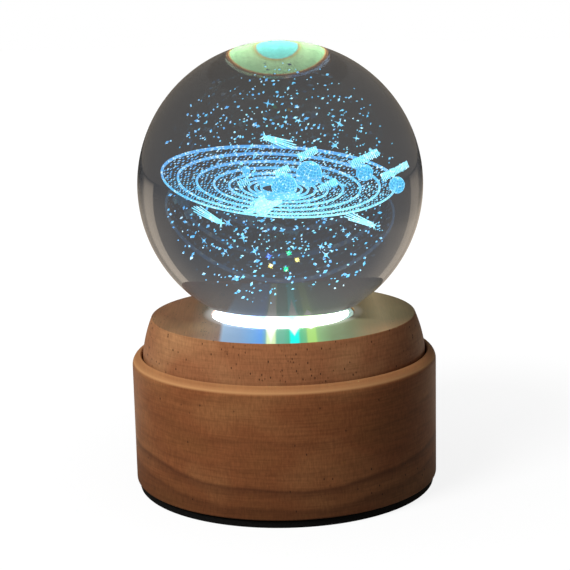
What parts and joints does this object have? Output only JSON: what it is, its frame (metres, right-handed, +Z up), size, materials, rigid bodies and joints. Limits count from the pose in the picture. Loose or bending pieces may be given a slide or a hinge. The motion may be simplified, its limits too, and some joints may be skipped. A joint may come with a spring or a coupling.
{
  "type": "crystal ball lamp",
  "caption": "Solid glass ball with a ground flat foot on a tapered wooden stage that turns on a round wooden body, lit from below by coloured diodes.",
  "frame": {"origin": "centre of the foot pad's underside, on the surface that the lamp stands on", "axes": "+Z up along the ball's and the turntable's axis, -Y towards the viewer in the picture, +Y towards the socket and the button"},
  "size_m": [0.0868, 0.0868, 0.1258],
  "materials": {
    "ball_glass": "polished solid optical glass with a picture of fine marks inside",
    "light_plate": "frosted acrylic light plate",
    "stage_wood": "turned beech, warm brown stain under satin lacquer",
    "body_wood": "turned beech, warm brown stain under satin lacquer",
    "foot_foam": "black foam rubber",
    "nylon": "moulded white nylon",
    "black_plastic": "moulded black ABS, fine spark texture",
    "grey_plastic": "moulded grey ABS",
    "button_plastic": "moulded grey ABS",
    "white_plastic": "moulded white resin",
    "board_laminate": "green solder mask on glass laminate",
    "blue_lens": "blue diode",
    "green_lens": "green diode",
    "white_lens": "white diode",
    "yellow_lens": "yellow diode",
    "motor_steel": "plated steel",
    "cast_zinc": "die-cast zinc",
    "pinion_brass": "turned brass",
    "cell_foil": "laminated foil pouch",
    "socket_steel": "plated sheet steel",
    "white_lead": "white PVC insulation",
    "black_lead": "black PVC insulation",
    "red_lead": "red PVC insulation",
    "screw_steel": "zinc-plated steel"
  },
  "bodies": {
    "base": {"wood_body": "body_wood", "bottom_cover": "black_plastic", "foot_pad": "foot_foam", "led_column": "black_plastic", "thrust_washer": "nylon", "led_board": "board_laminate", "led_blue": "blue_lens", "led_green": "green_lens", "led_white": "white_lens", "led_yellow": "yellow_lens", "motor_cradle": "grey_plastic", "motor_can": "motor_steel", "motor_gearbox": "cast_zinc", "battery_tray": "grey_plastic", "battery_cell": "cell_foil", "port_bezel": "black_plastic", "control_board": "board_laminate", "usb_socket": "socket_steel", "push_switch": "black_plastic", "led_lead": "white_lead", "motor_lead": "black_lead", "battery_lead": "red_lead", "column_screw_1": "screw_steel", "column_screw_2": "screw_steel", "cover_screw_1": "screw_steel", "cover_screw_2": "screw_steel", "cover_screw_3": "screw_steel", "cradle_screw_1": "screw_steel", "cradle_screw_2": "screw_steel", "board_screw_1": "screw_steel", "board_screw_2": "screw_steel"},
    "turntable": {"wood_stage": "stage_wood", "seat_disc": "light_plate", "turntable_hub": "nylon", "hub_screw_1": "screw_steel", "hub_screw_2": "screw_steel", "hub_screw_3": "screw_steel"},
    "ball": {"crystal_ball": "ball_glass"},
    "pinion": {"drive_pinion": "pinion_brass", "motor_shaft": "motor_steel"},
    "button": {"power_button": "button_plastic", "switch_plunger": "white_plastic"}
  },
  "joints": [
    {"name": "stage_spin", "type": "hinge", "parent": "base", "child": "turntable", "pos_m": [0, 0, 0.0352], "axis": [0, 0, 1], "continuous": true},
    {"name": "pinion_spin", "type": "hinge", "parent": "base", "child": "pinion", "pos_m": [0.024, 0, 0.0374], "axis": [0, 0, 1], "continuous": true},
    {"name": "ball_lift", "type": "slide", "parent": "turntable", "child": "ball", "axis": [0, 0, 1], "range_m": [0, 0.04]},
    {"name": "button_press", "type": "slide", "parent": "base", "child": "button", "axis": [0, -1, 0], "range_m": [0, 0.001], "stiffness_N_per_m": 1200, "springref_m": -0.001}
  ],
  "couplings": [
    {"joint": "pinion_spin", "follows": "stage_spin", "ratio": -4}
  ]
}
